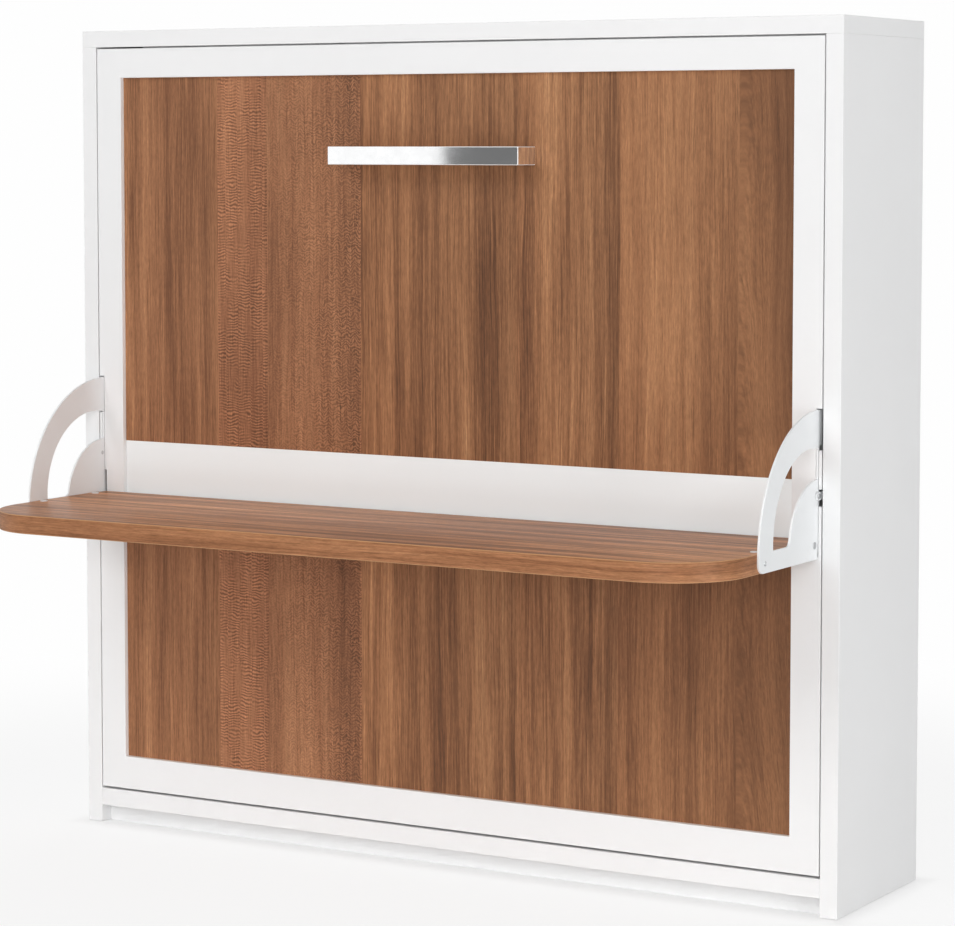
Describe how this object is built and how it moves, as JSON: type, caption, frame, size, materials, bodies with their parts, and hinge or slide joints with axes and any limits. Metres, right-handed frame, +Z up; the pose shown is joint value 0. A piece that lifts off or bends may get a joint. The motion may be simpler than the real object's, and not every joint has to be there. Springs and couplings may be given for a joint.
{
  "type": "wall bed with fold down desk",
  "caption": "Upright wall bed in a shallow cabinet; its framed front tilts down on side pivots while a bracketed desk stays level and ends up under the bed.",
  "frame": {"origin": "middle of the footprint on the floor, bed closed and desk level", "axes": "+X along the width to the right, +Y from the desk to the wall, +Z up"},
  "size_m": [2.064, 0.979, 1.99],
  "materials": {
    "white_board": "satin white lacquer on board",
    "veneer": "satin walnut veneer",
    "slat_wood": "plain beech",
    "ticking": "woven ticking",
    "webbing": "woven webbing",
    "rubber": "matt",
    "plastic": "matt",
    "white_plastic": "semi-gloss",
    "white_steel": "white powder coat",
    "zinc_steel": "bright zinc",
    "black_steel": "black enamel",
    "chrome": "polished"
  },
  "bodies": {
    "cabinet": {"cabinet_side_left": "white_board", "cabinet_side_right": "white_board", "top_board": "white_board", "base_rail": "white_board", "plinth_board": "white_board", "floor_board": "white_board", "back_panel": "white_board", "upper_back_rail": "white_board", "lower_back_rail": "white_board", "stop_strip": "white_board", "stop_bumpers": "rubber", "levelling_feet": "plastic", "cabinet_pivot_plates": "zinc_steel", "main_pivot_pins": "zinc_steel", "bar_anchor_pins": "zinc_steel", "wall_fixing_plates": "zinc_steel", "gas_cylinder_left": "black_steel", "gas_cylinder_right": "black_steel", "cylinder_clamps": "zinc_steel"},
    "bed": {"front_stile_left": "white_board", "front_stile_right": "white_board", "front_top_rail": "white_board", "front_bottom_rail": "white_board", "upper_inset": "veneer", "lower_inset": "veneer", "middle_band": "white_board", "front_lining": "white_board", "box_side_left": "white_board", "box_side_right": "white_board", "box_head_board": "white_board", "box_foot_board": "white_board", "slat_ledges": "slat_wood", "centre_beam": "zinc_steel", "slats_set": "slat_wood", "mattress": "ticking", "mattress_straps": "webbing", "strap_buckles": "plastic", "bed_pivot_plates": "zinc_steel", "desk_hinge_plates": "white_steel", "lifter_rollers": "zinc_steel", "pull_handle": "chrome", "handle_screws": "zinc_steel"},
    "desk": {"desk_board": "veneer", "bracket_left": "white_steel", "bracket_right": "white_steel", "bracket_screws": "zinc_steel", "dowel_caps": "white_plastic", "desk_hinge_pins": "zinc_steel", "bar_pins": "zinc_steel", "leg_hinge_blocks": "plastic", "leg_hinge_pins": "zinc_steel"},
    "desk_leg": {"leg_frame": "chrome", "leg_sleeves": "rubber"},
    "bar_left": {"levelling_bar_left": "white_steel"},
    "bar_right": {"levelling_bar_right": "white_steel"},
    "rod_left": {"lifter_rod_left": "chrome"},
    "rod_right": {"lifter_rod_right": "chrome"}
  },
  "joints": [
    {"name": "bed_tilt", "type": "hinge", "parent": "cabinet", "child": "bed", "pos_m": [0, 0.0855, 0.28], "axis": [1, 0, 0], "range_deg": [0, 90]},
    {"name": "desk_level", "type": "hinge", "parent": "bed", "child": "desk", "pos_m": [0, 0.0225, 0.832], "axis": [1, 0, 0], "range_deg": [-90, 0]},
    {"name": "bar_left_swing", "type": "hinge", "parent": "cabinet", "child": "bar_left", "pos_m": [-0.982, 0.0955, 0.388], "axis": [1, 0, 0], "range_deg": [0, 90]},
    {"name": "bar_right_swing", "type": "hinge", "parent": "cabinet", "child": "bar_right", "pos_m": [0.982, 0.0955, 0.388], "axis": [1, 0, 0], "range_deg": [0, 90]},
    {"name": "lifter_left_slide", "type": "slide", "parent": "cabinet", "child": "rod_left", "axis": [0, 0, 1], "range_m": [0, 0.2334]},
    {"name": "lifter_right_slide", "type": "slide", "parent": "cabinet", "child": "rod_right", "axis": [0, 0, 1], "range_m": [0, 0.2334]},
    {"name": "leg_fold", "type": "hinge", "parent": "desk", "child": "desk_leg", "pos_m": [0, -0.2895, 0.786], "axis": [1, 0, 0], "range_deg": [-90, 0]}
  ],
  "couplings": [
    {"joint": "desk_level", "follows": "bed_tilt", "ratio": -1},
    {"joint": "bar_left_swing", "follows": "bed_tilt", "ratio": 1},
    {"joint": "bar_right_swing", "follows": "bed_tilt", "ratio": 1},
    {"joint": "lifter_left_slide", "follows": "bed_tilt", "m_per_rad": 0.14855},
    {"joint": "lifter_right_slide", "follows": "bed_tilt", "m_per_rad": 0.14855}
  ]
}
